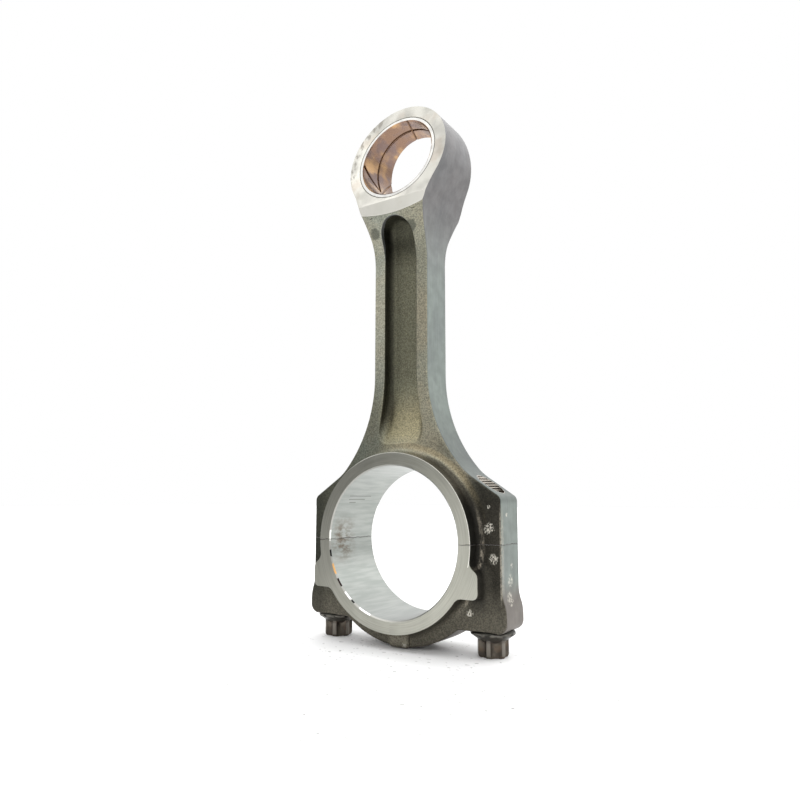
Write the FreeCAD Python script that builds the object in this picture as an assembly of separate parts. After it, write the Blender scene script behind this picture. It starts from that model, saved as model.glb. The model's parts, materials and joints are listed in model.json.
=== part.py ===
"""Connecting rod of a heavy truck diesel engine: forged, fracture-split, with a wedge-shaped small end.

Millimetres. The origin is the centre of the big-end bore, X runs across the rod, Y along the bores and
+Z up the shank to the small end. The rod stands on the heads of its two cap bolts.
"""
import FreeCAD, Part
import math
import os
from FreeCAD import Vector

# Bores and width
CENTRE_DISTANCE = 256.0
HOUSING_BORE_R = 47.5
PIN_BORE_R = 27.0
BUSH_OUTER_R = 30.0
BIG_END_WIDTH = 48.0
BORE_CHAMFER = 0.8
BUSH_CHAMFER = 0.7
BUSH_RECESS = 0.1
BUSH_JOINT_CHAMFER = 0.3

# Front outline of the forging
SHANK_HALF_WIDTH = 20.7
SMALL_END_R = 38.1
NECK_R = 90.0
SHOULDER_R = 93.0
SHOULDER_ARC_TOP_Z = 108.0
SHOULDER_SLOPE_DEG = 33.5
SHOULDER_CORNER_Z = 27.7
SHOULDER_BLEND_R = 35.0
SIDE_HALF_WIDTH = 70.1
FOOT_HALF_WIDTH = 72.8
FLARE_TOP_Z = -25.0
FLARE_BOTTOM_Z = -41.0
CORNER_R = 4.5
FOOT_CORNER_R = 6.0
BELT_R = 65.0
BELT_TO_SEAT_R = 6.0
OUTLINE_R = 1.2

# Thickness of the forging, along Y
FORGED_HALF_THICKNESS = 12.5
WEDGE_START_Z = 224.0
WEDGE_HALF_AT_PIN = 18.0
SWOOP_CENTRE_Z = 314.7
SWOOP_R = 100.0
SWOOP_SLOPE = 0.5
SWOOP_BLEND_R = 47.0
SWOOP_SPAN_DEG = 120.0

# Recessed channel in each face of the shank
WEB_HALF_THICKNESS = 4.5
CHANNEL_HALF_WIDTH = 12.1
CHANNEL_MOUTH_HALF_WIDTH = 16.8
CHANNEL_TOP_Z = 213.0
CHANNEL_FLARE_TOP_Z = 112.0
CHANNEL_FLARE_BOTTOM_Z = 72.0
CHANNEL_BOTTOM_Z = 62.0
CHANNEL_MOUTH_Z = 60.2
CHANNEL_MOUTH_R = 7.0
CHANNEL_RAMP_TOP_Z = 95.0
CHANNEL_SCOOP_START_Z = 198.0
CHANNEL_SCOOP_R = 16.0
CHANNEL_SCOOP_OVER = 0.5
CHANNEL_FLOOR_FILLET = 4.5
CHANNEL_RIM_R = 1.0

# Thrust ring of the big end, with a square ear each side on the cap
THRUST_RING_R = 55.8
EAR_HALF_WIDTH = 60.2
EAR_SHOULDER_Z = -18.7
EAR_SHOULDER_R = 5.0
EAR_BOTTOM_Z = -30.7
EAR_CORNER_R = 3.5
EAR_ROOT_R = 6.0
RING_ROOT_FILLET = 5.0

# Lug under the cap
LUG_HALF_WIDTH = 7.5
LUG_HALF_LENGTH = 15.0
LUG_BOTTOM_Z = -65.3
LUG_R = 2.5

# Raised locating pip on the front of one shoulder
PIP_X = 62.6
PIP_Z = 22.0
PIP_R = 1.4
PIP_HEIGHT = 0.8

# Cap bolts, M16 x 1.5, and their holes
BOLT_X = 58.1
SEAT_Z = -50.0
FOOT_Z = -50.5
SPOT_FACE_R = 14.2
BOLT_R = 8.0
BOLT_LENGTH = 80.0
THREAD_LENGTH = 28.0
SHOULDER_LENGTH = 8.0
WAIST_R = 7.0
TAPPED_HOLE_R = 8.15
CAP_HOLE_R = 8.4
HEAD_BOTTOM_Z = -65.6
HEAD_TIP_R = 9.2
HEAD_ROOT_R = 6.65
HEAD_FLUTE_R = 3.6
HEAD_TURN_LEFT_DEG = 50
HEAD_TURN_RIGHT_DEG = 37
FLANGE_R = 13.4
FLANGE_RIM = 2.6
FLANGE_TOP_Z = -55.2
EDGE_BREAK = 0.6
HEAD_DIMPLE_R = 4.5
HEAD_DIMPLE_DEPTH = 1.2

# The crack left where the forging was split into rod and cap
SPLIT_GAP = 0.1
BIG = 400.0


def at(x, z):
    return Vector(x, 0, z)


def line(a, b):
    return Part.LineSegment(a, b).toShape()


def arc(cx, cz, radius, start_deg, end_deg):
    """Arc in the XZ plane about (cx, cz), angles measured from +X towards +Z."""
    points = []
    for angle in (start_deg, 0.5 * (start_deg + end_deg), end_deg):
        t = math.radians(angle)
        points.append(at(cx + radius * math.cos(t), cz + radius * math.sin(t)))
    return Part.Arc(*points).toShape()


def prism_y(wire, half_width):
    """Closed XZ wire as a solid centred on the XZ plane."""
    face = Part.Face(wire)
    face.translate(Vector(0, -half_width, 0))
    return face.extrude(Vector(0, 2 * half_width, 0))


def prism_x(points_yz, half_width):
    """Polygon in the YZ plane as a solid centred on the YZ plane."""
    points = [Vector(-half_width, y, z) for y, z in points_yz]
    face = Part.Face(Part.makePolygon(points + points[:1]))
    return face.extrude(Vector(2 * half_width, 0, 0))


def cylinder_y(radius, half_width, x=0.0, z=0.0):
    return Part.makeCylinder(radius, 2 * half_width, Vector(x, -half_width, z), Vector(0, 1, 0))


def mirrored(shape, normal):
    return shape.mirror(Vector(0, 0, 0), normal)


def ends(edge):
    return [vertex.Point for vertex in edge.Vertexes]


def edges_along_y(shape, x, z):
    """Edges parallel to Y at the given |x| and z."""
    found = []
    for edge in shape.Edges:
        if all(abs(abs(p.x) - x) < 0.05 and abs(p.z - z) < 0.05 for p in ends(edge)):
            found.append(edge)
    return found


def belt_end_x():
    """Where the round belly of the cap meets the flat seats of its bolts."""
    return math.sqrt(BELT_R ** 2 - FOOT_Z ** 2)


def outline_right():
    """The +X half of the forging's outline, from the foot of the cap up to the crown."""
    belt_end_deg = math.degrees(math.asin(FOOT_Z / BELT_R))
    flare = FOOT_HALF_WIDTH - SIDE_HALF_WIDTH
    flare_height = FLARE_TOP_Z - FLARE_BOTTOM_Z
    flare_r = (flare_height ** 2 + flare ** 2) / (4 * flare)
    flare_deg = math.degrees(math.asin(flare_height / 2 / flare_r))
    shoulder_cx = SHANK_HALF_WIDTH + SHOULDER_R
    slope_meets = slope_meets_arc()
    slope_deg = direction_deg(shoulder_cx, SHOULDER_ARC_TOP_Z, slope_meets.x, slope_meets.z)
    neck_cx = SHANK_HALF_WIDTH + NECK_R
    reach = NECK_R + SMALL_END_R
    neck_cz = CENTRE_DISTANCE - math.sqrt(reach ** 2 - neck_cx ** 2)
    neck_deg = math.degrees(math.atan2(CENTRE_DISTANCE - neck_cz, -neck_cx))
    return [
        arc(0, 0, BELT_R, -90, belt_end_deg),
        line(at(belt_end_x(), FOOT_Z), at(FOOT_HALF_WIDTH, FOOT_Z)),
        line(at(FOOT_HALF_WIDTH, FOOT_Z), at(FOOT_HALF_WIDTH, FLARE_BOTTOM_Z)),
        arc(FOOT_HALF_WIDTH - flare_r, FLARE_BOTTOM_Z, flare_r, 0, flare_deg),
        arc(SIDE_HALF_WIDTH + flare_r, FLARE_TOP_Z, flare_r, 180 + flare_deg, 180),
        line(at(SIDE_HALF_WIDTH, FLARE_TOP_Z), at(SIDE_HALF_WIDTH, SHOULDER_CORNER_Z)),
        line(at(SIDE_HALF_WIDTH, SHOULDER_CORNER_Z), slope_meets),
        arc(shoulder_cx, SHOULDER_ARC_TOP_Z, SHOULDER_R, slope_deg, -180),
        line(at(SHANK_HALF_WIDTH, SHOULDER_ARC_TOP_Z), at(SHANK_HALF_WIDTH, neck_cz)),
        arc(neck_cx, neck_cz, NECK_R, 180, neck_deg),
        arc(0, CENTRE_DISTANCE, SMALL_END_R, neck_deg - 180, 90),
    ]


def slope_meets_arc():
    """Where the sloping shoulder line meets the big arc that sweeps out of the shank."""
    # Points of the line are (x, z0 - slope * x), points of the arc are SHOULDER_R from its centre.
    cx = SHANK_HALF_WIDTH + SHOULDER_R
    slope = math.tan(math.radians(SHOULDER_SLOPE_DEG))
    z0 = SHOULDER_CORNER_Z + slope * SIDE_HALF_WIDTH - SHOULDER_ARC_TOP_Z
    a = 1 + slope ** 2
    b = -2 * (cx + slope * z0)
    c = cx ** 2 + z0 ** 2 - SHOULDER_R ** 2
    x = (-b - math.sqrt(b * b - 4 * a * c)) / (2 * a)
    return at(x, z0 - slope * x + SHOULDER_ARC_TOP_Z)


def forging_blank():
    """The rod's outline at full width, with its corners rounded."""
    blank = prism_y(symmetric_wire(outline_right()), BIG_END_WIDTH / 2)
    meets = slope_meets_arc()
    rounds = [
        (FOOT_CORNER_R, FOOT_HALF_WIDTH, FOOT_Z),
        (CORNER_R, SIDE_HALF_WIDTH, SHOULDER_CORNER_Z),
        (SHOULDER_BLEND_R, meets.x, meets.z),
        (BELT_TO_SEAT_R, belt_end_x(), FOOT_Z),
    ]
    for radius, x, z in rounds:
        blank = blank.makeFillet(radius, edges_along_y(blank, x, z))
    return blank


def wedge_cutter():
    """Everything in front of the sloping, machined face of the small end."""
    taper = (BIG_END_WIDTH / 2 - WEDGE_HALF_AT_PIN) / (CENTRE_DISTANCE - WEDGE_START_Z)
    top_z = CENTRE_DISTANCE + 2 * SMALL_END_R
    top_y = BIG_END_WIDTH / 2 - taper * (top_z - WEDGE_START_Z)
    outside = BIG_END_WIDTH
    corners = [
        (-BIG_END_WIDTH / 2, WEDGE_START_Z),
        (-top_y, top_z),
        (-outside, top_z),
        (-outside, WEDGE_START_Z),
    ]
    return prism_x(corners, FOOT_HALF_WIDTH)


def swoop_cutter():
    """What is forged away in front of the shank and big end, swooping out to the small end's full width."""
    # Drawn as radius from an axis above the small end, so the machined pad below the wedge ends in an arc.
    front = BIG_END_WIDTH / 2
    rise = front - FORGED_HALF_THICKNESS
    corner_r = SWOOP_R + rise / SWOOP_SLOPE
    angle = math.atan(SWOOP_SLOPE)
    tangent = SWOOP_BLEND_R * math.tan(angle / 2)
    line_end = (
        corner_r - tangent * math.cos(angle),
        FORGED_HALF_THICKNESS + tangent * math.sin(angle),
    )
    arc_end = (corner_r + tangent, FORGED_HALF_THICKNESS)
    middle = (
        corner_r + tangent - SWOOP_BLEND_R * math.sin(angle / 2),
        FORGED_HALF_THICKNESS + SWOOP_BLEND_R * (1 - math.cos(angle / 2)),
    )
    profile = [(SWOOP_R, front), line_end, middle, arc_end]
    points = [Vector(0, -y, SWOOP_CENTRE_Z - r) for r, y in profile]
    far = Vector(0, -FORGED_HALF_THICKNESS, SWOOP_CENTRE_Z - BIG)
    far_out = Vector(0, -BIG_END_WIDTH, SWOOP_CENTRE_Z - BIG)
    near_out = Vector(0, -BIG_END_WIDTH, SWOOP_CENTRE_Z - SWOOP_R)
    edges = [
        line(points[0], points[1]),
        Part.Arc(points[1], points[2], points[3]).toShape(),
        line(points[3], far),
        line(far, far_out),
        line(far_out, near_out),
        line(near_out, points[0]),
    ]
    face = Part.Face(Part.Wire(edges))
    axis_point = Vector(0, 0, SWOOP_CENTRE_Z)
    face.rotate(axis_point, Vector(0, 1, 0), -SWOOP_SPAN_DEG / 2)
    return face.revolve(axis_point, Vector(0, 1, 0), SWOOP_SPAN_DEG)


def both_faces(cutter):
    return [cutter, mirrored(cutter, Vector(0, 1, 0))]


def circles_meet(ax, az, ar, bx, bz, br):
    """The crossing of two circles that lies to the left of the way from a to b."""
    apart = math.hypot(bx - ax, bz - az)
    along = (ar ** 2 - br ** 2 + apart ** 2) / (2 * apart)
    aside = math.sqrt(ar ** 2 - along ** 2)
    ux, uz = (bx - ax) / apart, (bz - az) / apart
    return ax + along * ux - aside * uz, az + along * uz + aside * ux


def direction_deg(from_x, from_z, to_x, to_z):
    return math.degrees(math.atan2(to_z - from_z, to_x - from_x))


def ring_outline_right():
    """The +X half of the thrust ring's outline, from the top down: ring, ear, ring."""
    ring_reach = THRUST_RING_R + EAR_ROOT_R
    shoulder_x = EAR_HALF_WIDTH - EAR_SHOULDER_R
    shoulder_reach = EAR_SHOULDER_R + EAR_ROOT_R
    root_x, root_z = circles_meet(0, 0, ring_reach, shoulder_x, EAR_SHOULDER_Z, shoulder_reach)
    ring_deg = direction_deg(0, 0, root_x, root_z)
    shoulder_deg = direction_deg(shoulder_x, EAR_SHOULDER_Z, root_x, root_z)
    corner_x = EAR_HALF_WIDTH - EAR_CORNER_R
    corner_z = EAR_BOTTOM_Z + EAR_CORNER_R
    foot_z = EAR_BOTTOM_Z - EAR_ROOT_R
    foot_x = math.sqrt(ring_reach ** 2 - foot_z ** 2)
    foot_deg = direction_deg(0, 0, foot_x, foot_z)
    return [
        arc(0, 0, THRUST_RING_R, 90, ring_deg),
        arc(root_x, root_z, EAR_ROOT_R, ring_deg - 180, shoulder_deg - 180),
        arc(shoulder_x, EAR_SHOULDER_Z, EAR_SHOULDER_R, shoulder_deg, 0),
        line(at(EAR_HALF_WIDTH, EAR_SHOULDER_Z), at(EAR_HALF_WIDTH, corner_z)),
        arc(corner_x, corner_z, EAR_CORNER_R, 0, -90),
        line(at(corner_x, EAR_BOTTOM_Z), at(foot_x, EAR_BOTTOM_Z)),
        arc(foot_x, foot_z, EAR_ROOT_R, 90, 180 + foot_deg),
        arc(0, 0, THRUST_RING_R, foot_deg, -90),
    ]


def symmetric_wire(right):
    left = [mirrored(edge, Vector(1, 0, 0)) for edge in right]
    return Part.Wire(Part.__sortEdges__(right + left))


def ring_with_ears():
    return prism_y(symmetric_wire(ring_outline_right()), BIG_END_WIDTH / 2)


def channel_walls():
    """The channel's outline, cut right through: round top, straight sides and a flared mouth."""
    top_centre_z = CHANNEL_TOP_Z - CHANNEL_HALF_WIDTH
    flare = CHANNEL_MOUTH_HALF_WIDTH - CHANNEL_HALF_WIDTH
    flare_height = CHANNEL_FLARE_TOP_Z - CHANNEL_FLARE_BOTTOM_Z
    flare_r = (flare_height ** 2 + flare ** 2) / (2 * flare)
    flare_deg = math.degrees(math.asin(flare_height / flare_r))
    wide = CHANNEL_MOUTH_HALF_WIDTH
    right = [
        arc(0, top_centre_z, CHANNEL_HALF_WIDTH, 90, 0),
        line(at(CHANNEL_HALF_WIDTH, top_centre_z), at(CHANNEL_HALF_WIDTH, CHANNEL_FLARE_TOP_Z)),
        arc(CHANNEL_HALF_WIDTH + flare_r, CHANNEL_FLARE_TOP_Z, flare_r, 180, 180 + flare_deg),
        line(at(wide, CHANNEL_FLARE_BOTTOM_Z), at(wide, CHANNEL_MOUTH_Z)),
        line(at(wide, CHANNEL_MOUTH_Z), at(0, CHANNEL_MOUTH_Z)),
    ]
    walls = prism_y(symmetric_wire(right), BIG_END_WIDTH)
    return walls.makeFillet(CHANNEL_MOUTH_R, edges_along_y(walls, wide, CHANNEL_MOUTH_Z))


def floor_arc(start_z, radius, end_z):
    """Three points of an arc that leaves the flat web at start_z and curves out of the channel."""
    turn = math.asin(abs(end_z - start_z) / radius)
    way = math.copysign(1, end_z - start_z)
    points = []
    for angle in (0, turn / 2, turn):
        y = -WEB_HALF_THICKNESS - radius * (1 - math.cos(angle))
        points.append(Vector(0, y, start_z + way * radius * math.sin(angle)))
    return points


def channel_depth():
    """The channel's depth, as wide as the rod: scooped top, flat web, long ramp at the bottom."""
    depth = FORGED_HALF_THICKNESS - WEB_HALF_THICKNESS
    run = CHANNEL_RAMP_TOP_Z - CHANNEL_BOTTOM_Z
    ramp_r = (run ** 2 + depth ** 2) / (2 * depth)
    ramp = floor_arc(CHANNEL_RAMP_TOP_Z, ramp_r, CHANNEL_MOUTH_Z)
    scoop = floor_arc(CHANNEL_SCOOP_START_Z, CHANNEL_SCOOP_R, CHANNEL_TOP_Z + CHANNEL_SCOOP_OVER)
    outer_bottom = Vector(0, -BIG_END_WIDTH, ramp[2].z)
    outer_top = Vector(0, -BIG_END_WIDTH, scoop[2].z)
    edges = [
        Part.Arc(*scoop).toShape(),
        line(scoop[0], ramp[0]),
        Part.Arc(*ramp).toShape(),
        line(ramp[2], outer_bottom),
        line(outer_bottom, outer_top),
        line(outer_top, scoop[2]),
    ]
    face = Part.Face(Part.Wire(Part.__sortEdges__(edges)))
    face.translate(Vector(-SIDE_HALF_WIDTH, 0, 0))
    return face.extrude(Vector(2 * SIDE_HALF_WIDTH, 0, 0))


def channel_cutter():
    """The recess in the front face of the shank, with a round where its floor meets its walls."""
    cutter = channel_walls().common(channel_depth())
    floor_edges = []
    for edge in cutter.Edges:
        box = edge.BoundBox
        across = box.ZLength < 0.01
        outer = box.YMin < -BIG_END_WIDTH / 2
        if not (across or outer or box.YLength > BIG_END_WIDTH / 2 or box.ZMax < CHANNEL_BOTTOM_Z):
            floor_edges.append(edge)
    return cutter.makeFillet(CHANNEL_FLOOR_FILLET, floor_edges)


def middle_of(edge):
    return edge.valueAt((edge.FirstParameter + edge.LastParameter) / 2)


def edges_over(shape, outline, least_y, most_y):
    """Edges that lie over an outline drawn in the XZ plane, at a depth |y| within the two limits."""
    found = []
    for edge in shape.Edges:
        middle = middle_of(edge)
        outside = not least_y - 0.01 < abs(middle.y) < most_y + 0.01
        crosses = edge.BoundBox.YLength > most_y - least_y + 1
        if outside or crosses:
            continue
        if outline.distToShape(Part.Vertex(at(middle.x, middle.z)))[0] < 0.02:
            found.append(edge)
    return found


def outline_of(solid):
    """Outline of a prism along Y, as the section through its middle."""
    return solid.slice(Vector(0, 1, 0), 0.0)[0]


def lug():
    """Small weight pad under the cap, from which metal is milled to balance the rod."""
    top_z = -THRUST_RING_R
    corner = Vector(-LUG_HALF_WIDTH, -LUG_HALF_LENGTH, LUG_BOTTOM_Z)
    block = Part.makeBox(2 * LUG_HALF_WIDTH, 2 * LUG_HALF_LENGTH, top_z - LUG_BOTTOM_Z, corner)
    low = [edge for edge in block.Edges if edge.BoundBox.ZMax < LUG_BOTTOM_Z + 0.1]
    upright = [edge for edge in block.Edges if edge.BoundBox.ZLength > 1]
    return block.makeFillet(LUG_R, low + upright)


def pip():
    """Low round pip that shows which face of the rod points forward."""
    base = Vector(PIP_X, -FORGED_HALF_THICKNESS + PIP_HEIGHT, PIP_Z)
    stud = Part.makeCylinder(PIP_R, 2 * PIP_HEIGHT, base, Vector(0, -1, 0))
    rim = [edge for edge in stud.Edges if edge.BoundBox.YMax < -FORGED_HALF_THICKNESS]
    return stud.makeFillet(PIP_HEIGHT / 2, rim)


def forging():
    """Rod and cap in one piece, with the channels but before any bore is cut."""
    blank = forging_blank()
    body = blank.cut(both_faces(wedge_cutter()) + both_faces(swoop_cutter()))
    body = body.fuse(ring_with_ears()).removeSplitter()
    ring_outline = symmetric_wire(ring_outline_right())
    forged = FORGED_HALF_THICKNESS
    body = body.makeFillet(RING_ROOT_FILLET, edges_over(body, ring_outline, forged, forged))
    body = body.makeFillet(OUTLINE_R, edges_over(body, outline_of(blank), forged, forged))
    body = body.cut(both_faces(channel_cutter()))
    rim = edges_over(body, outline_of(channel_walls()), forged, BIG_END_WIDTH / 2)
    body = body.makeFillet(CHANNEL_RIM_R, [edge for edge in rim if edge.BoundBox.ZLength > 0.01])
    return body.fuse([lug(), pip()])


def bore_rims(shape, radius, z):
    """The edges where a bore along Y meets the front and back faces."""
    found = []
    for edge in shape.Edges:
        middle = middle_of(edge)
        if abs(math.hypot(middle.x, middle.z - z) - radius) < 0.01 and edge.Closed:
            found.append(edge)
    return found


def bolt_holes():
    """Clearance holes through the cap and tapped holes that break out on the shoulders of the rod."""
    holes = []
    for side in (-1, 1):
        x = side * BOLT_X
        holes.append(Part.makeCylinder(TAPPED_HOLE_R, SHOULDER_ARC_TOP_Z / 2, Vector(x, 0, 0)))
        holes.append(Part.makeCylinder(CAP_HOLE_R, -FOOT_Z + 1, Vector(x, 0, FOOT_Z - 1)))
        holes.append(Part.makeCylinder(SPOT_FACE_R, SEAT_Z - FOOT_Z + 1, Vector(x, 0, FOOT_Z - 1)))
    return holes


def machined_rod():
    """The forging with its bores, bolt holes and bolt seats, still in one piece."""
    body = forging()
    bores = [
        cylinder_y(HOUSING_BORE_R, BIG_END_WIDTH),
        cylinder_y(BUSH_OUTER_R, BIG_END_WIDTH, z=CENTRE_DISTANCE),
    ]
    body = body.cut(bores + bolt_holes())
    body = body.makeChamfer(BORE_CHAMFER, bore_rims(body, HOUSING_BORE_R, 0))
    return body.makeChamfer(BUSH_JOINT_CHAMFER, bore_rims(body, BUSH_OUTER_R, CENTRE_DISTANCE))


def half_space(above):
    """A block that holds everything above, or below, the crack at the big-end centre line."""
    base_z = SPLIT_GAP / 2 if above else -SPLIT_GAP / 2 - BIG
    return Part.makeBox(BIG, BIG, BIG, Vector(-BIG / 2, -BIG / 2, base_z))


def small_end_bush():
    """Bronze bush, pressed in and then faced off just below the sloping sides of the small end."""
    bush = cylinder_y(BUSH_OUTER_R, BIG_END_WIDTH / 2, z=CENTRE_DISTANCE)
    facing = wedge_cutter()
    facing.translate(Vector(0, BUSH_RECESS, 0))
    bush = bush.cut(both_faces(facing)).cut(cylinder_y(PIN_BORE_R, BIG_END_WIDTH, z=CENTRE_DISTANCE))
    return bush.makeChamfer(BUSH_CHAMFER, bore_rims(bush, PIN_BORE_R, CENTRE_DISTANCE))


def turned(profile, x):
    """Solid of revolution about the vertical line at x, from (radius, z) points."""
    points = [Vector(x + radius, 0, z) for radius, z in profile]
    face = Part.Face(Part.makePolygon(points + points[:1]))
    return face.revolve(Vector(x, 0, 0), Vector(0, 0, 1), 360)


def flutes(x, turn_deg):
    """Six round bars that cut the hollows between the lobes of the head, one lobe at turn_deg."""
    centre_r = HEAD_ROOT_R + HEAD_FLUTE_R
    bars = []
    for number in range(6):
        t = math.radians(60 * number + 30 + turn_deg)
        foot = Vector(x + centre_r * math.cos(t), centre_r * math.sin(t), HEAD_BOTTOM_Z - 1)
        bars.append(Part.makeCylinder(HEAD_FLUTE_R, SEAT_Z - HEAD_BOTTOM_Z, foot))
    return bars


def cap_bolt(x, turn_deg):
    """Flange bolt with an outside six-lobe head, a waisted shank and a plain thread cylinder."""
    tip_z = SEAT_Z + BOLT_LENGTH
    thread_z = tip_z - THREAD_LENGTH
    flange_z = SEAT_Z - FLANGE_RIM
    cone_slope = (flange_z - FLANGE_TOP_Z) / (FLANGE_R - EDGE_BREAK - HEAD_TIP_R)
    cone_foot_z = FLANGE_TOP_Z - cone_slope * (HEAD_TIP_R - HEAD_ROOT_R)
    shank = turned([
        (0, cone_foot_z),
        (HEAD_ROOT_R, cone_foot_z),
        (FLANGE_R - EDGE_BREAK, flange_z),
        (FLANGE_R, flange_z + EDGE_BREAK),
        (FLANGE_R, SEAT_Z - EDGE_BREAK),
        (FLANGE_R - EDGE_BREAK, SEAT_Z),
        (BOLT_R, SEAT_Z),
        (BOLT_R, SEAT_Z + SHOULDER_LENGTH),
        (WAIST_R, SEAT_Z + SHOULDER_LENGTH + 2 * (BOLT_R - WAIST_R)),
        (WAIST_R, thread_z - (BOLT_R - WAIST_R)),
        (BOLT_R, thread_z),
        (BOLT_R, tip_z - 2 * EDGE_BREAK),
        (BOLT_R - 2 * EDGE_BREAK, tip_z),
        (0, tip_z),
    ], x)
    head = turned([
        (0, SEAT_Z),
        (HEAD_TIP_R, SEAT_Z),
        (HEAD_TIP_R, HEAD_BOTTOM_Z + 3 * EDGE_BREAK),
        (HEAD_TIP_R - EDGE_BREAK, HEAD_BOTTOM_Z + EDGE_BREAK),
        (HEAD_TIP_R - 2 * EDGE_BREAK, HEAD_BOTTOM_Z),
        (0, HEAD_BOTTOM_Z),
    ], x).cut(flutes(x, turn_deg))
    dimple = Part.makeCylinder(HEAD_DIMPLE_R, HEAD_DIMPLE_DEPTH, Vector(x, 0, HEAD_BOTTOM_Z))
    return shank.fuse(head).cut(dimple).removeSplitter()


def build():
    os.makedirs("parts", exist_ok=True)
    rod = machined_rod()
    pieces = {
        "rod_body": rod.common(half_space(True)),
        "rod_cap": rod.common(half_space(False)),
        "small_end_bush": small_end_bush(),
        "cap_bolt_left": cap_bolt(-BOLT_X, HEAD_TURN_LEFT_DEG),
        "cap_bolt_right": cap_bolt(BOLT_X, HEAD_TURN_RIGHT_DEG),
    }
    for name, shape in pieces.items():
        box = shape.BoundBox
        print(name, "valid", shape.isValid(), "solids", len(shape.Solids), "volume", round(shape.Volume),
              "z", round(box.ZMin, 2), round(box.ZMax, 2))
        shape.exportStep(f"parts/{name}.step")


build()
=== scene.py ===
"""Forged connecting rod of a truck diesel engine, standing on its cap bolts on a white table.

Metres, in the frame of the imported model: X across the rod, Y along the bores, Z up the shank.
"""
import bpy
import bmesh
import json
import math
from mathutils import Matrix, Vector


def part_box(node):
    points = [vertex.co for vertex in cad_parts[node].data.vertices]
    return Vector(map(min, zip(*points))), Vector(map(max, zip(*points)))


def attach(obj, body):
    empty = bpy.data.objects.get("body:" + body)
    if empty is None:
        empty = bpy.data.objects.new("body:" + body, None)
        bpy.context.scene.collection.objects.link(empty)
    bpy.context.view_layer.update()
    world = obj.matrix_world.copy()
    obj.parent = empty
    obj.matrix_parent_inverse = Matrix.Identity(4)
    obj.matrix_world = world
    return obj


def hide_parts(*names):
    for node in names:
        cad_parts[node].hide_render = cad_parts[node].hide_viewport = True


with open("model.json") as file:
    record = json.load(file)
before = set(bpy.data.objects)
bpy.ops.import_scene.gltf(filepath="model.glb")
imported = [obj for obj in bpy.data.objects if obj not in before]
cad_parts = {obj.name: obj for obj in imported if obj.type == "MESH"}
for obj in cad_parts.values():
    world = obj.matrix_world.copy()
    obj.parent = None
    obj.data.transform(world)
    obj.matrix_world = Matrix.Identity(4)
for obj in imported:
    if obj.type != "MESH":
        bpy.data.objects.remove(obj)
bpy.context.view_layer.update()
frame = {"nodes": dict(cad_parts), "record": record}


# ---- The table, the light tent and the camera ----
# A sheet of white card, a little dusty, inside a tent of white cloth that is open and dim on the side
# where the camera stands, low and to the right of the rod. The rod stands on its bolt heads, so the card
# goes down with the cap.

MM = 0.001


class Board:
    """A node tree being wired up. Each method adds a node and gives back its output."""

    def __init__(self, tree):
        self.nodes = tree.nodes
        self.links = tree.links

    def feed(self, socket, value):
        if isinstance(value, bpy.types.NodeSocket):
            self.links.new(value, socket)
        elif value is not None:
            socket.default_value = value

    def add(self, kind, *values, **settings):
        node = self.nodes.new("ShaderNode" + kind)
        for name, value in settings.items():
            setattr(node, name, value)
        for socket, value in zip(node.inputs, values):
            self.feed(socket, value)
        return node

    def maths(self, operation, *values):
        return self.add("Math", *values, operation=operation).outputs[0]

    def times(self, first, *others):
        for other in others:
            first = self.maths("MULTIPLY", first, other)
        return first

    def plus(self, first, *others):
        for other in others:
            first = self.maths("ADD", first, other)
        return first

    def rise(self, value, start, end, low=0.0, high=1.0):
        """From low to high as the value goes smoothly from start to end."""
        return self.add("MapRange", value, start, end, low, high, interpolation_type="SMOOTHSTEP").outputs[0]

    def dim(self, colour, share):
        """The colour, darker or lighter by a share."""
        node = self.add("VectorMath", colour, operation="SCALE")
        self.feed(node.inputs[3], share)
        return node.outputs[0]

    def blend(self, share, under, over, way="MIX"):
        mix = self.add("Mix", data_type="RGBA", blend_type=way)
        self.feed(mix.inputs[0], share)
        self.feed(mix.inputs[6], under)
        self.feed(mix.inputs[7], over)
        return mix.outputs[2]


class Finish(Board):
    """A material being mixed. Its lengths are millimetres of the piece's own coordinates."""

    def __init__(self, name):
        self.material = bpy.data.materials.new(name)
        self.material.use_nodes = True
        super().__init__(self.material.node_tree)
        self.shader = self.nodes["Principled BSDF"]
        here = self.add("TexCoord").outputs["Object"]
        self.place = self.add("Mapping", here, None, None, (1 / MM, 1 / MM, 1 / MM)).outputs[0]
        self.x, self.y, self.z = self.add("SeparateXYZ", self.place).outputs

    def grain(self, size, detail=2.0, stretch=(1, 1, 1), shift=0.0, rough=0.5):
        """Cloudy noise from 0 to 1 with lumps of about that size, drawn out along an axis by stretch."""
        scale = [1 / (size * s) for s in stretch]
        place = self.add("Mapping", self.place, (shift, shift, shift), None, scale).outputs[0]
        noise = self.add("TexNoise")
        self.feed(noise.inputs["Vector"], place)
        noise.inputs["Scale"].default_value = 1.0
        noise.inputs["Detail"].default_value = detail
        noise.inputs["Roughness"].default_value = rough
        return noise.outputs[0]

    def far(self, a, b, centre_a=0.0, centre_b=0.0):
        """Distance from a centre in the plane of two coordinates."""
        a = self.maths("SUBTRACT", a, centre_a)
        b = self.maths("SUBTRACT", b, centre_b)
        return self.maths("SQRT", self.maths("MULTIPLY_ADD", a, a, self.times(b, b)))

    def coat(self, colour, roughness, metallic, height=None):
        """Wires up the shader. The height is a relief in millimetres."""
        self.feed(self.shader.inputs["Base Color"], colour)
        self.feed(self.shader.inputs["Roughness"], roughness)
        self.feed(self.shader.inputs["Metallic"], metallic)
        if height is not None:
            bump = self.add("Bump")
            self.feed(bump.inputs["Height"], height)
            bump.inputs["Distance"].default_value = MM
            bump.inputs["Strength"].default_value = 1.0
            self.feed(self.shader.inputs["Normal"], bump.outputs[0])
        return self.material


scene = bpy.context.scene
scene.view_settings.view_transform = "Standard"

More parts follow.
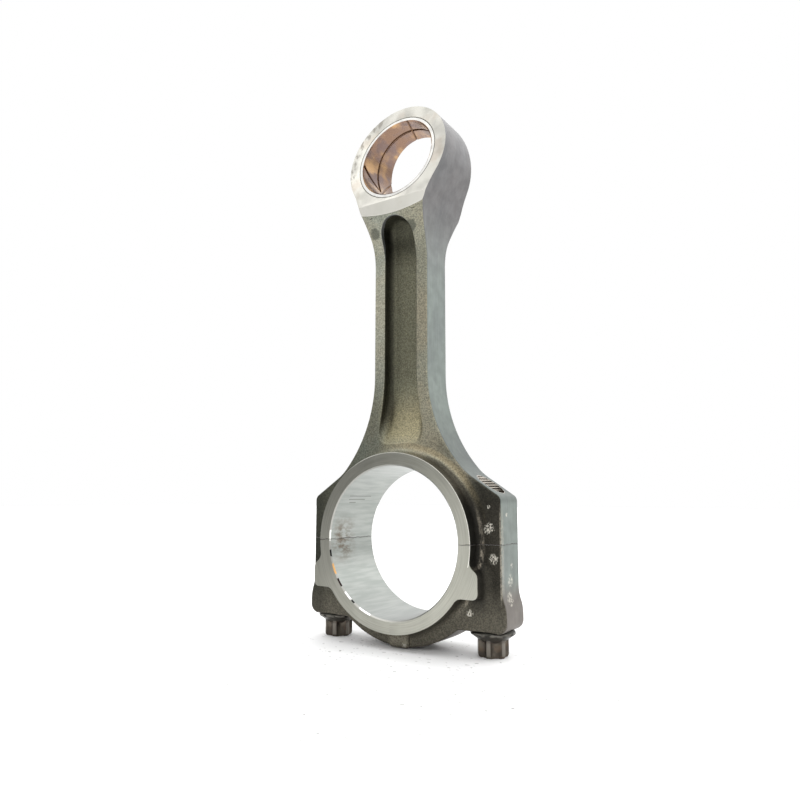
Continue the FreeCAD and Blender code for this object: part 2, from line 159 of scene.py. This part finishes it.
eye = bpy.data.cameras.new("eye")
eye.lens = 30.306
eye.sensor_width = 36.0
eye.shift_x = 0.0056
eye.shift_y = 0.0159
eye.clip_start = 0.01
camera = bpy.data.objects.new("eye", eye)
swing = Matrix.Rotation(math.radians(33.577), 3, "Z")
tilt = Matrix.Rotation(math.radians(97.212), 3, "X")
lean = Matrix.Rotation(math.radians(0.151), 3, "Z")
camera.rotation_euler = (swing @ tilt @ lean).to_euler()
camera.location = (0.23812, -0.37652, 0.02715)
scene.collection.objects.link(camera)
scene.camera = camera

tent = bpy.data.worlds.new("light_tent")
tent.use_nodes = True
scene.world = tent
sky = Board(tent.node_tree)
to_right, to_back, to_top = sky.add("SeparateXYZ", sky.add("TexCoord").outputs["Generated"]).outputs
overhead = sky.rise(to_top, 0.0, 0.6, 0.0, 1.1)
behind = sky.rise(to_back, -0.3, 0.5, 0.0, 0.75)
beside = sky.rise(to_right, -0.75, -0.1, 0.03, 0.38)
seen = sky.add("LightPath").outputs["Is Camera Ray"]
background = sky.nodes["Background"].inputs
sky.feed(background["Color"], sky.blend(seen, sky.plus(overhead, beside, behind), (1, 1, 1, 1)))
background["Strength"].default_value = 1.0

bolt_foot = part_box("cap_bolt_left")[0].z
bpy.ops.mesh.primitive_plane_add(size=12.0, location=(0, 0, bolt_foot))
card = bpy.context.object
card.name = "white_card"
bpy.ops.object.transform_apply(location=True)
paper = Finish("white_card")
specks = paper.rise(paper.grain(2.2, 1.0, (1.8, 1, 1)), 0.68, 0.74)
patches = paper.rise(paper.grain(45, 2.0), 0.36, 0.5)
round_rod = paper.rise(paper.far(paper.x, paper.y, 40, -60), 240, 60)
dust = paper.times(specks, patches, round_rod)
dusty_white = paper.blend(dust, (0.93, 0.93, 0.93, 1), (0.35, 0.34, 0.33, 1))
card.data.materials.append(paper.coat(dusty_white, 0.7, 0.0))
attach(card, "cap")

lamp = bpy.data.lights.new("softbox", "AREA")
lamp.shape = "DISK"
lamp.size = 1.2
lamp.energy = 3.0
softbox = bpy.data.objects.new("softbox", lamp)
softbox.location = (-0.5, -0.5, 1.5)
softbox.rotation_euler = (Vector((0, 0, 0.1)) - softbox.location).to_track_quat("-Z", "Y").to_euler()
scene.collection.objects.link(softbox)


# ---- The rod and its cap ----
# One steel forging, shot-blasted, then ground on its thrust rings and wedge, bored, drilled, and
# cracked apart at the big end, so a single finish covers both halves of it.

half_width = 24.0
wedge_slope = 0.1875
wedge_foot = 66.0
pin_height = 256.0
bolt_x = 58.1
seat_z = -50.0
pitch = 1.5

steel = Finish("forged_steel")
x, y, z = steel.x, steel.y, steel.z
across = steel.maths("ABSOLUTE", x)
through = steel.maths("ABSOLUTE", y)
from_crank = steel.far(x, z)
normal = steel.add("SeparateXYZ", steel.add("NewGeometry").outputs["Normal"]).outputs
facing = steel.maths("ABSOLUTE", normal[1])


def above(value, limit):
    return steel.maths("GREATER_THAN", value, limit)


def below(value, limit):
    return steel.maths("LESS_THAN", value, limit)


def within(value, low, high):
    """1 where the value lies between two limits."""
    return steel.times(above(value, low), below(value, high))


def near(value, centre, loose, tight):
    """Fades in as the value comes from a loose distance to a tight one from the centre."""
    return steel.rise(steel.maths("ABSOLUTE", steel.maths("SUBTRACT", value, centre)), loose, tight)


def rest(share):
    """What a share leaves of the whole."""
    return steel.maths("SUBTRACT", 1.0, share)


def tint(share, colour, hue):
    """The colour, multiplied by a hue over a share of it."""
    return steel.blend(share, colour, steel.blend(1.0, colour, hue, "MULTIPLY"))


def spot(a, b, centre_a, centre_b, radius, ragged=0.5):
    """A soft ragged spot at a place in the plane of two coordinates."""
    away = steel.far(a, b, centre_a, centre_b)
    frayed = steel.maths("MULTIPLY_ADD", steel.grain(radius * 0.7, 3.0), radius * ragged * 2, away)
    return steel.rise(frayed, radius * (1.25 + ragged), radius * (0.75 + ragged))


# Where the surface was machined
wedge_face = steel.maths("MULTIPLY_ADD", z, -wedge_slope, wedge_foot)
over_face = steel.maths("SUBTRACT", through, steel.maths("MINIMUM", half_width, wedge_face))
faced = above(over_face, -0.1)
bored = below(from_crank, 48.6)
from_bolt = steel.far(across, y, bolt_x)
drilled = steel.times(below(from_bolt, 8.45), above(z, seat_z + 1.0))
spot_faced = steel.times(below(from_bolt, 14.3), below(z, seat_z + 0.1))
cracked = below(steel.maths("ABSOLUTE", z), 0.08)
machined = faced
for cut in (bored, drilled, spot_faced):
    machined = steel.maths("MAXIMUM", machined, cut)

# The flanks of the forging, trimmed and smoother than its front and back; their bluer colour is partly their
# own finish and partly painted light from the white side they face
up_swoop = steel.maths("MAXIMUM", steel.maths("SUBTRACT", z, 194.0), 0.0)
front_skin = steel.maths("MULTIPLY_ADD", steel.times(up_swoop, up_swoop), 0.0265, 12.3)
in_channel = steel.times(below(across, 17.8), within(z, 59.0, 214.5), below(through, front_skin))
in_root = steel.times(below(z, 61.5), above(through, 12.4))
flank = steel.times(steel.rise(facing, 0.62, 0.5), rest(in_channel), rest(in_root))

# The blasted skin: olive above, brown-black towards the bottom and the lower left, with painted shade and
# painted highlights laid over it
blotch = steel.grain(26, 3.0)
speckle = steel.grain(0.85, 1.5)
glitter = steel.grain(0.7, 1.0, shift=31)
olive = steel.blend(steel.rise(blotch, 0.35, 0.65), (0.225, 0.235, 0.195, 1), (0.245, 0.238, 0.187, 1))
olive = tint(steel.rise(x, 0, 12), olive, (1.05, 1.0, 0.94, 1))
olive = steel.blend(steel.times(in_channel, steel.rise(z, 66, 104)), olive, (0.285, 0.28, 0.195, 1))
low = steel.rise(steel.maths("MULTIPLY_ADD", x, -0.45, z), 55, -20)
skin = steel.blend(low, olive, (0.103, 0.095, 0.074, 1))
ramp = steel.times(steel.rise(across, 19, 10), steel.rise(z, 104, 78), steel.rise(z, 52, 70))
skin = steel.blend(ramp, skin, (0.29, 0.262, 0.165, 1))
# Painted shade low on the left: a greener tint here, and a share taken off the skin's light below
left_low_shade = steel.times(
    steel.plus(steel.rise(x, 4, -24, 0, 0.4), steel.rise(x, -26, -52, 0, 0.3)),
    steel.rise(z, 112, 80), steel.rise(z, -48, -22))
skin = tint(left_low_shade, skin, (0.96, 1.02, 0.95, 1))
# Painted shade in the root of the ring
root_shade = steel.times(
    in_root, steel.rise(from_crank, 58.6, 57.2), steel.rise(x, 10, 30), steel.rise(z, -42, -30), 0.75)
skin = steel.blend(root_shade, skin, (0.035, 0.030, 0.022, 1))
# A painted gold highlight round the ring, outside its root
root_gold_highlight = steel.times(
    near(from_crank, 60.6, 3.0, 0.6), above(through, 12.0),
    steel.rise(x, -20, 20), steel.rise(z, 5, 34), 0.85)
skin = steel.blend(root_gold_highlight, skin, (0.36, 0.31, 0.205, 1))
# Painted shade, near black, beside the ring on the right shoulder
beside_ring_shade = steel.times(
    steel.rise(x, 48, 53), steel.rise(x, 62, 57), steel.rise(z, 34, 18), steel.rise(z, -44, -30), 0.8)
skin = steel.blend(beside_ring_shade, skin, (0.045, 0.043, 0.036, 1))

# Painted light and shade on the skin, as shares added to it or taken off it: two painted highlights, then
# painted shade on the left, on the right ear, in the channel and outside the ring
left_highlight = steel.times(steel.rise(x, -7, -14), steel.rise(z, 95, 150), steel.rise(z, 225, 175), 0.45)
lug_highlight = steel.times(steel.rise(z, -56, -60), steel.rise(across, 10, 7), 0.8)
shade = steel.times(steel.plus(1.0, left_highlight), steel.plus(1.0, lug_highlight))
far_left_shade = steel.rise(x, -56, -66, 0.0, 0.4)
right_ear_shade = steel.times(steel.rise(x, 42, 52), steel.rise(z, -46, -22), steel.rise(z, 48, 32), 0.62)
sunk_shade = steel.times(in_channel, steel.rise(z, 76, 112, 0.0, 0.5))
left_wall_shade = steel.times(in_channel, steel.rise(x, -7.5, -11.0), steel.rise(z, 64, 84), 0.72)
upper_end_shade = steel.times(in_channel, steel.rise(z, 175, 208), 0.58)
right_wall_shade = steel.times(in_channel, near(x, 12.0, 1.1, 0.4), steel.rise(z, 90, 120), 0.6)
outside = steel.times(
    steel.rise(from_crank, 63, 66), steel.rise(x, 14, 30), steel.rise(z, 70, 52), steel.rise(z, 12, 26), 0.35)
for share in (left_low_shade, far_left_shade, right_ear_shade, sunk_shade, left_wall_shade, upper_end_shade, right_wall_shade, outside):
    shade = steel.times(shade, rest(share))
skin = steel.dim(skin, shade)

# Painted glints of light in the root of the ring, the blasted pores with a painted sparkle of light on them,
# and two spots of oil at the top of the shank
glints = steel.times(
    near(from_crank, 58.4, 1.5, 0.2), in_root, steel.rise(z, 26, 8), steel.rise(z, -46, -34),
    steel.rise(x, 30, 45), steel.rise(steel.grain(1.6, 4.0, (1, 1, 2.5), 61), 0.36, 0.62), 0.7)
skin = steel.blend(glints, skin, (0.27, 0.24, 0.19, 1))
skin = steel.dim(skin, steel.rise(speckle, 0.32, 0.68, 0.74, 1.3))
sparkle = steel.times(steel.rise(glitter, 0.64, 0.74), steel.rise(facing, 0.5, 0.7), 0.5)
skin = tint(sparkle, skin, (2.0, 1.85, 1.5, 1))
for oil_x in (-16.5, 12.5):
    oil = steel.times(spot(x, z, oil_x, 205, 3.6, 0.3), steel.rise(facing, 0.5, 0.6), 0.75)
    skin = steel.blend(oil, skin, (0.07, 0.075, 0.06, 1))

# The trimmed flanks, streaked up and down, in a colour that is partly painted light, and darker on the slope
# above the big end
flank_tone_and_light = steel.blend(steel.rise(z, 150, 230), (0.205, 0.235, 0.215, 1), (0.17, 0.165, 0.165, 1))
clouds = steel.rise(steel.grain(18, 3.0, (1, 1, 3)), 0.35, 0.7, 0.0, 0.4)
flank_tone_and_light = steel.blend(clouds, flank_tone_and_light, (0.145, 0.155, 0.16, 1))
flank_tone_and_light = steel.blend(steel.rise(z, -18, -34), flank_tone_and_light, (0.17, 0.155, 0.14, 1))
slope = steel.times(steel.rise(z, 108, 52), steel.rise(z, 22, 30), 0.5)
streaks = steel.times(
    steel.rise(steel.grain(1.6, 3.0, (1, 1, 14), 12), 0.3, 0.7, 0.95, 1.05),
    steel.rise(steel.grain(7, 4.0, shift=27), 0.3, 0.7, 0.9, 1.1))
flank_tone_and_light = steel.dim(flank_tone_and_light, steel.times(rest(slope), streaks))
skin = steel.blend(flank, skin, flank_tone_and_light)

# The ground thrust rings, turned round the crank bore, and the ground wedge and facet at the small end, their
# tone holding painted light: darker on the left of the rings, brighter on the facet and the lower left of the
# wedge
ground = steel.blend(steel.grain(9, 3.0, (1, 1, 3)), (0.38, 0.38, 0.325, 1), (0.49, 0.485, 0.43, 1))
round_crank = steel.maths("ARCTAN2", x, z)
lathe = steel.add("CombineXYZ", steel.times(from_crank, 1.6), steel.times(round_crank, 2.0), 0.0).outputs[0]
turning = steel.rise(steel.add("TexNoise", lathe, None, 1.0, 3.0).outputs[0], 0.3, 0.7, 0.9, 1.1)
on_ring = steel.times(
    steel.rise(x, -58, 25, 0.60, 0.88),
    steel.rise(steel.maths("SUBTRACT", x, z), -60, 20, 0.82, 1.05), turning)
on_wedge = steel.times(
    steel.rise(steel.grain(16, 3.0, shift=6), 0.35, 0.65, 0.62, 0.88),
    steel.rise(steel.plus(x, steel.times(z, 0.7)), 200, 145, 1.15, 1.65))
on_facet = 1.5
small_end = above(z, 150)
past_facet = steel.rise(z, 223.6, 224.4)
at_small_end = steel.maths("MULTIPLY_ADD", past_facet, steel.maths("SUBTRACT", on_wedge, on_facet), on_facet)
tone_and_light = steel.plus(steel.times(small_end, at_small_end), steel.times(rest(small_end), on_ring))
ground = steel.dim(ground, tone_and_light)
ground = tint(small_end, ground, (1.01, 0.995, 1.04, 1))
pinkish = steel.times(small_end, steel.rise(steel.grain(15, 3.0, shift=14), 0.5, 0.68), 0.5)
ground = tint(pinkish, ground, (0.80, 0.70, 0.63, 1))
rubs = steel.times(
    steel.rise(steel.grain(3.2, 4.0, (1, 1, 1.6), 8), 0.46, 0.58),
    steel.rise(steel.far(x, z, 0.0, pin_height), 32, 35),
    steel.rise(x, -8, -18), steel.rise(z, 240, 250), 0.65)
ground = steel.blend(rubs, ground, (0.16, 0.145, 0.125, 1))

# The honed crank bore, with a brown stain across the crack and three scratches on its left wall
hone = steel.rise(steel.grain(2.5, 4.0, (1, 9, 1)), 0.3, 0.7)
bore_metal = steel.blend(hone, (0.275, 0.295, 0.275, 1), (0.345, 0.36, 0.34, 1))
bore_metal = steel.dim(bore_metal, steel.rise(z, -46, -15, 0.7, 1.0))
smudge = steel.rise(steel.grain(4, 5.0, (1, 2.2, 1), 3, 0.65), 0.40, 0.62)
stain = steel.times(near(z, -0.5, 19, 3), near(y, -10.0, 16, 3), smudge, below(x, -40), 0.85)
bore_metal = steel.blend(stain, bore_metal, (0.12, 0.09, 0.06, 1))
for scratch_z, from_y, to_y in ((28.3, -15, 9), (24.0, -12, -5), (26.0, -14, 4)):
    scratch = steel.times(near(z, scratch_z, 0.45, 0.15), within(y, from_y, to_y), below(x, 0), 0.55)
    bore_metal = steel.blend(scratch, bore_metal, (0.08, 0.08, 0.075, 1))
metal = steel.blend(steel.times(bored, rest(faced)), ground, bore_metal)

# The bore's chamfer, with painted reflections of what stands round it, a painted highlight on the ring's
# bright edge, and the bolt holes
chamfer = steel.times(bored, within(through, 23.15, 23.98))
metal = steel.blend(steel.times(chamfer, 0.7), metal, (0.45, 0.44, 0.41, 1))
rim_highlight = steel.times(
    within(from_crank, 55.35, 55.9), faced, steel.rise(steel.plus(x, z), 0, 40), above(z, -12.5))
metal = steel.blend(rim_highlight, metal, (0.8, 0.79, 0.72, 1))
for glint_x, glint_z, reach, hue in (
        (-45.5, -8.6, 3.0, (0.02, 0.02, 0.02, 1)),
        (-42, -18, 4.5, (0.75, 0.42, 0.16, 1)),
        (-38.7, -26.8, 3.4, (0.03, 0.02, 0.02, 1)),
        (-32, -34.5, 3.6, (1, 1, 1, 1)),
        (-28.2, -38.2, 1.6, (0.03, 0.03, 0.03, 1)),
        (-19, -43.7, 5.0, (1, 1, 1, 1)),
        (-47, 2.5, 4.0, (0.9, 0.9, 0.85, 1))):
    glint = steel.times(chamfer, steel.rise(steel.far(x, z, glint_x, glint_z), reach, reach * 0.8))
    metal = steel.blend(glint, metal, hue)
metal = steel.blend(drilled, metal, (0.36, 0.33, 0.29, 1))
metal = steel.blend(spot_faced, metal, (0.20, 0.17, 0.14, 1))
colour = steel.blend(machined, skin, metal)

# Scuffs with bare metal showing, on the front by x and z, and on the right flank by y and z; the first front
# mark is no scuff but a painted highlight on the small pip of the right shoulder
on_front = steel.times(steel.rise(facing, 0.6, 0.75), below(y, 0.0))
on_right = steel.times(below(facing, 0.5), above(x, 69.0))
wear = steel.rise(steel.grain(0.9, 3.0, (1, 1, 1.8), 44), 0.46, 0.56)
front_scuffs_and_pip_highlight = (
    (62.8, 22.0, 1.2, 0.6), (62.5, 9.5, 3.2, 1.0), (65.0, -8.2, 2.8, 1.0), (49.4, -40.1, 2.0, 0.9),
    (4.5, -63.4, 1.6, 0.5))
right_scuffs = (
    (-4.2, 17.4, 1.3, 0.9), (1.9, -12.8, 1.8, 0.5), (-0.5, -21.1, 3.4, 0.6), (-3.0, -31.1, 3.8, 0.6))
for along, side, marks in ((x, on_front, front_scuffs_and_pip_highlight), (y, on_right, right_scuffs)):
    for mark_at, mark_z, reach, share in marks:
        light_mark = steel.times(spot(along, z, mark_at, mark_z, reach), side, wear, share)
        colour = steel.blend(light_mark, colour, (0.66, 0.63, 0.55, 1))
# A light line down the front edge of the right shoulder: wear, with a painted edge highlight along it
worn_edge_and_highlight = steel.times(
    near(x, 69.7, 0.8, 0.2), steel.rise(z, 26, 10), steel.rise(z, -36, -28), below(y, -9.0),
    steel.rise(wear, 0, 1, 0.2, 0.5))
colour = steel.blend(worn_edge_and_highlight, colour, (0.5, 0.46, 0.38, 1))

# The crack: a dark wandering line outside, and torn grey metal on the two faces that part
colour = steel.blend(cracked, colour, (0.5, 0.5, 0.48, 1))
wander = steel.maths("MULTIPLY_ADD", steel.grain(7, 3.0, shift=5), 2.4, -1.2)
seam = steel.times(near(z, wander, 0.32, 0.1), rest(cracked), 0.8)
colour = steel.blend(seam, colour, (0.05, 0.04, 0.035, 1))

peen = steel.maths("MULTIPLY_ADD", speckle, 0.09, steel.times(steel.grain(3.2, 2.0, shift=50), 0.12))
peen = steel.times(peen, rest(machined), steel.rise(flank, 0, 1, 1.0, 0.3))
tool_marks = steel.times(steel.grain(0.5, 1.0, (1, 1, 12)), 0.008, machined)
tapped = steel.times(steel.maths("SINE", steel.times(z, math.tau / pitch)), 0.2, drilled, above(z, 0.5))
torn = steel.times(steel.grain(1.8, 4.0, shift=70), 0.9, cracked)
forged_steel = steel.coat(
    colour, steel.rise(machined, 0.0, 1.0, 0.5, 0.32), steel.rise(machined, 0.0, 1.0, 0.85, 1.0),
    steel.plus(peen, tool_marks, tapped, torn))

for half in ("rod_body", "rod_cap"):
    frame["nodes"][half].data.materials[0] = forged_steel


# ---- The small-end bush ----
# A steel-backed bronze bush, pressed into the small end, fine-bored for the piston pin, with oil grooves
# milled round it and across it, and faced off with the wedge just below the steel.

bush_low, bush_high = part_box("small_end_bush")
pin_z = (bush_low.z + bush_high.z) / 2
pin_r = next(m["dims"]["r_mm"] for m in frame["record"]["mounts"] if m["name"] == "pin_bore") * MM
seat_r = (bush_high.z - bush_low.z) / 2
bush_half = half_width * MM
bore_chamfer = 0.7 * MM
seat_chamfer = 0.3 * MM
groove_deep = 0.7 * MM
ring_groove = 1.1 * MM
fine_groove = 0.9 * MM
bore_rows = 96


def half_length(height):
    """Half the bush's length at a height on the sloping sides of the small end."""
    return (wedge_foot - 0.1) * MM - wedge_slope * height


def groove_depth(angle, along):
    """Depth of the oil grooves, 0 to 1, at an angle from the top and a distance along the bore."""
    def cut(off_centre, half_wide):
        return max(0.0, 1 - (off_centre / half_wide) ** 2)
    depth = cut(along + 0.5 * MM, ring_groove)
    depth = max(depth, cut((pin_r * (angle - 0.056) + 0.3 * along) * 0.96, fine_groove))
    if abs(along) < 19 * MM:
        for side in (-1, 1):
            for way in (-1, 1):
                arm = side * math.radians(117 - way * 1720 * abs(along))
                depth = max(depth, cut(pin_r * (angle - arm) * 0.77, fine_groove))
    return depth


def closed(mesh, gap):
    """Merges points closer than the gap and turns all faces outwards."""
    bmesh.ops.remove_doubles(mesh, verts=mesh.verts, dist=gap)
    bmesh.ops.recalc_face_normals(mesh, faces=mesh.faces)


def as_piece(mesh, name, crease):
    """A smooth object of the mesh, with the edges that turn more than the crease, in degrees, kept sharp."""
    for face in mesh.faces:
        face.smooth = True
    shape = bpy.data.meshes.new(name)
    mesh.to_mesh(shape)
    mesh.free()
    piece = bpy.data.objects.new(name, shape)
    scene.collection.objects.link(piece)
    shape.set_sharp_from_angle(angle=math.radians(crease))
    return piece


mesh = bmesh.new()
bore_end = bush_half - bore_chamfer
rows = [(pin_r, -bore_end + 2 * bore_end * step / bore_rows) for step in range(bore_rows + 1)]
rows += [(pin_r + bore_chamfer, bush_half), (seat_r - seat_chamfer, bush_half),
         (seat_r, bush_half - seat_chamfer), (seat_r, seat_chamfer - bush_half),
         (seat_r - seat_chamfer, -bush_half), (pin_r + bore_chamfer, -bush_half)]
points = [mesh.verts.new((0, along, pin_z + radius)) for radius, along in rows]
lines = [mesh.edges.new((points[n - 1], points[n])) for n in range(len(points))]
bmesh.ops.spin(mesh, geom=points + lines, cent=(0, 0, pin_z), axis=(0, 1, 0), dvec=(0, 0, 0),
               angle=math.tau, steps=360, use_merge=True)
closed(mesh, 1e-6)
oiled = mesh.verts.layers.float.new("groove")
end_zone = 2 * MM
for vert in mesh.verts:
    sloped = half_length(vert.co.z)
    inward = bush_half - abs(vert.co.y)
    if inward < end_zone:
        along = sloped - inward
    else:
        along = abs(vert.co.y) * (sloped - end_zone) / (bush_half - end_zone)
    vert.co.y = math.copysign(along, vert.co.y)
    out = Vector((vert.co.x, 0, vert.co.z - pin_z))
    if out.length < pin_r + 0.1 * MM:
        vert[oiled] = groove_depth(math.atan2(out.x, out.z), vert.co.y)
        vert.co += out.normalized() * groove_deep * vert[oiled]
bush = as_piece(mesh, "grooved_bush", 35)

bronze = Finish("worn_bronze")
from_pin = bronze.far(bronze.x, bronze.z, 0.0, pin_z / MM)
warm = bronze.rise(bronze.grain(13, 2.0, (1, 1.5, 1), 4), 0.42, 0.62)
cool = bronze.rise(bronze.grain(8, 2.0, (1, 1.5, 1), 20), 0.45, 0.65)
scored = bronze.rise(bronze.grain(0.6, 2.0, (1, 14, 1)), 0.3, 0.7)
groove = bronze.add("Attribute", attribute_name="groove").outputs["Fac"]
lining = bronze.blend(warm, (0.19, 0.120, 0.085, 1), (0.40, 0.250, 0.125, 1))
lining = bronze.blend(bronze.times(cool, 0.7), lining, (0.17, 0.130, 0.130, 1))
lining = bronze.blend(bronze.times(scored, 0.35), lining, (0.16, 0.10, 0.07, 1))
# Painted light: the lining lighter towards the top and darker below
lining = bronze.dim(lining, bronze.rise(bronze.z, 244, 282, 0.75, 1.35))
lining = bronze.blend(bronze.rise(groove, 0.35, 0.9), lining, (0.13, 0.065, 0.03, 1))
steel_back = bronze.maths("GREATER_THAN", from_pin, 27.85)
lining = bronze.blend(steel_back, lining, (0.50, 0.495, 0.475, 1))
lining = bronze.blend(bronze.rise(from_pin, 29.5, 29.9), lining, (0.12, 0.11, 0.10, 1))
worn_bronze = bronze.coat(lining, bronze.rise(cool, 0.0, 1.0, 0.24, 0.4), 1.0, bronze.times(scored, 0.004))
bush.data.materials.append(worn_bronze)
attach(bush, "rod")
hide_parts("small_end_bush")


# ---- The two cap bolts ----
# Flange bolts with six-lobe heads, forged, waisted and thread-rolled, with a black phosphate skin that has
# gone brown and oily. They are screwed up through the cap into the rod.

shank_r = 8.0
waist_r = 7.0
thread_root = 7.1
thread_crest = 7.97
flange_r = 13.4
tip_r = 9.2
root_r = 6.65
hollow_r = 3.6
hollow_centre = root_r + hollow_r
dish_r = 4.5
head_top, head_foot = -53.5, -65.6
bolt_end = 30.0
flat = Vector((1, 1, 0))


def turned(mesh, profile, centre_x, steps=72):
    """A solid of revolution about an upright axis, from its radii and heights in millimetres."""
    points = [mesh.verts.new(((centre_x + radius) * MM, 0, height * MM)) for radius, height in profile]
    lines = [mesh.edges.new(pair) for pair in zip(points, points[1:])]
    bmesh.ops.spin(mesh, geom=points + lines, cent=(centre_x * MM, 0, 0), axis=(0, 0, 1), dvec=(0, 0, 0),
                   angle=math.tau, steps=steps, use_merge=True)


def threaded(mesh, root, crest, start, end, centre_x, steps=32):
    """A rolled thread: one pitch of its profile wound up the axis, running out into the core at both ends."""
    known = set(mesh.verts)
    profile = ((root, 0.0), (root, 0.19), (crest, 0.66), (crest, 0.84), (root, 1.31), (root, pitch))
    points = [mesh.verts.new(((centre_x + radius) * MM, 0, (start + rise) * MM)) for radius, rise in profile]
    lines = [mesh.edges.new(pair) for pair in zip(points, points[1:])]
    turns = round((end - start) / pitch - 1) * steps
    bmesh.ops.spin(mesh, geom=points + lines, cent=(centre_x * MM, 0, 0), axis=(0, 0, 1),
                   dvec=(0, 0, pitch * MM / steps), angle=math.tau * turns / steps, steps=turns)
    core = root - 0.05
    for vert in set(mesh.verts) - known:
        height = vert.co.z / MM
        fade = min(1.0, max(0.0, min(height - start - 0.6, end - 0.6 - height) / pitch))
        out = Vector((vert.co.x - centre_x * MM, vert.co.y, 0))
        out *= (core + (out.length / MM - core) * fade) * MM / out.length
        vert.co.x = centre_x * MM + out.x
        vert.co.y = out.y


def lobed_head(mesh, centre_x, first_lobe, top, foot):
    """A bar with six lobes and hollows between them, drawn down, rounded over and dished at its end."""
    hub = Vector((centre_x * MM, 0, 0))
    made = bmesh.ops.create_circle(mesh, segments=96, radius=MM, cap_ends=True,
                                   matrix=Matrix.Translation(hub + Vector((0, 0, top * MM))))
    for vert in made["verts"]:
        out = (vert.co - hub) * flat / MM
        turn = math.atan2(out.y, out.x) - math.radians(first_lobe)
        off_hollow = abs(turn % (math.pi / 3) - math.pi / 6)
        sideways = hollow_centre * math.sin(off_hollow)
        reach = tip_r
        if sideways < hollow_r:
            wall = hollow_centre * math.cos(off_hollow) - math.sqrt(hollow_r ** 2 - sideways ** 2)
            reach = min(tip_r, wall)
        vert.co.x = hub.x + out.x * reach * MM
        vert.co.y = out.y * reach * MM
    face = made["verts"][0].link_faces[0]
    for radius, height in (
            (tip_r, foot + 1.9), (tip_r - 0.3, foot + 0.8), (tip_r - 0.6, foot + 0.3), (tip_r - 1.2, foot),
            (dish_r, foot), (dish_r - 0.2, foot + 0.5), (dish_r - 0.7, foot + 0.9),
            (dish_r - 1.9, foot + 1.2)):
        face = bmesh.ops.extrude_discrete_faces(mesh, faces=[face])["faces"][0]
        for vert in face.verts:
            out = (vert.co - hub) * flat
            out = out.normalized() * min(out.length, radius * MM)
            vert.co = hub + out + Vector((0, 0, height * MM))


phosphate = Finish("brown_phosphate")
rubbed = phosphate.rise(phosphate.grain(7, 3.0, shift=2), 0.45, 0.65)
rust = phosphate.rise(phosphate.grain(3.5, 3.0, shift=17), 0.5, 0.68)
bolt_skin = phosphate.blend(rubbed, (0.075, 0.064, 0.053, 1), (0.12, 0.104, 0.083, 1))
bolt_skin = phosphate.blend(phosphate.times(rust, 0.3), bolt_skin, (0.15, 0.095, 0.060, 1))
flange = phosphate.times(phosphate.rise(phosphate.z, -56.5, -55.0), 0.8)
bolt_skin = phosphate.blend(flange, bolt_skin, (0.14, 0.135, 0.12, 1))
# Grime with painted shade: near-black under the flange's edge and along its seat against the cap
oily = phosphate.rise(phosphate.grain(4, 3.0, (1, 1, 0.6), 33), 0.42, 0.6)
under_rim = phosphate.times(oily, phosphate.rise(phosphate.z, -54.5, -52.5))
at_seat = phosphate.rise(phosphate.z, -51.4, -50.6)
grime_and_shade = phosphate.times(phosphate.maths("MAXIMUM", under_rim, at_seat), 0.9)
bolt_skin = phosphate.blend(grime_and_shade, bolt_skin, (0.022, 0.022, 0.018, 1))
bolt_skin = phosphate.blend(phosphate.rise(phosphate.z, 1.0, 3.0), bolt_skin, (0.105, 0.10, 0.095, 1))
from_axis = phosphate.far(phosphate.maths("ABSOLUTE", phosphate.x), phosphate.y, bolt_x)
# Lighter lobe tips on the head: wear, with painted highlights on them
worn_and_lit_tips = phosphate.times(
    phosphate.rise(from_axis, 8.9, tip_r), phosphate.rise(phosphate.z, -55.5, -57.5), 0.6)
bolt_skin = phosphate.blend(worn_and_lit_tips, bolt_skin, (0.27, 0.25, 0.22, 1))
grit = phosphate.times(phosphate.grain(0.7, 2.0), 0.05)
brown_phosphate = phosphate.coat(bolt_skin, phosphate.rise(rubbed, 0, 1, 0.42, 0.3), 0.9, grit)

for side, centre_x, first_lobe in (("left", -bolt_x, 50), ("right", bolt_x, 37)):
    mesh = bmesh.new()
    turned(mesh, (
        (0.0, -57.0), (root_r, -57.0), (flange_r - 0.8, -52.75), (flange_r - 0.25, -52.5), (flange_r, -52.1),
        (flange_r, -51.2), (flange_r - 0.5, -50.55), (flange_r - 1.0, -50.5), (flange_r - 1.4, seat_z),
        (shank_r + 0.5, seat_z), (shank_r, -49.5), (shank_r, -42.2), (7.7, -41.6), (waist_r, -40.9),
        (waist_r, 1.8), (thread_root, 2.2), (thread_root, bolt_end - 1.1), (thread_root - 1.0, bolt_end),
        (0.0, bolt_end)), centre_x)
    threaded(mesh, thread_root, thread_crest, 1.6, 29.6, centre_x)
    lobed_head(mesh, centre_x, first_lobe, head_top, head_foot)
    closed(mesh, 2e-6)
    bolt = as_piece(mesh, side + "_flange_bolt", 18)
    bolt.data.materials.append(brown_phosphate)
    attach(bolt, "bolt_" + side)
    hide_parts("cap_bolt_" + side)
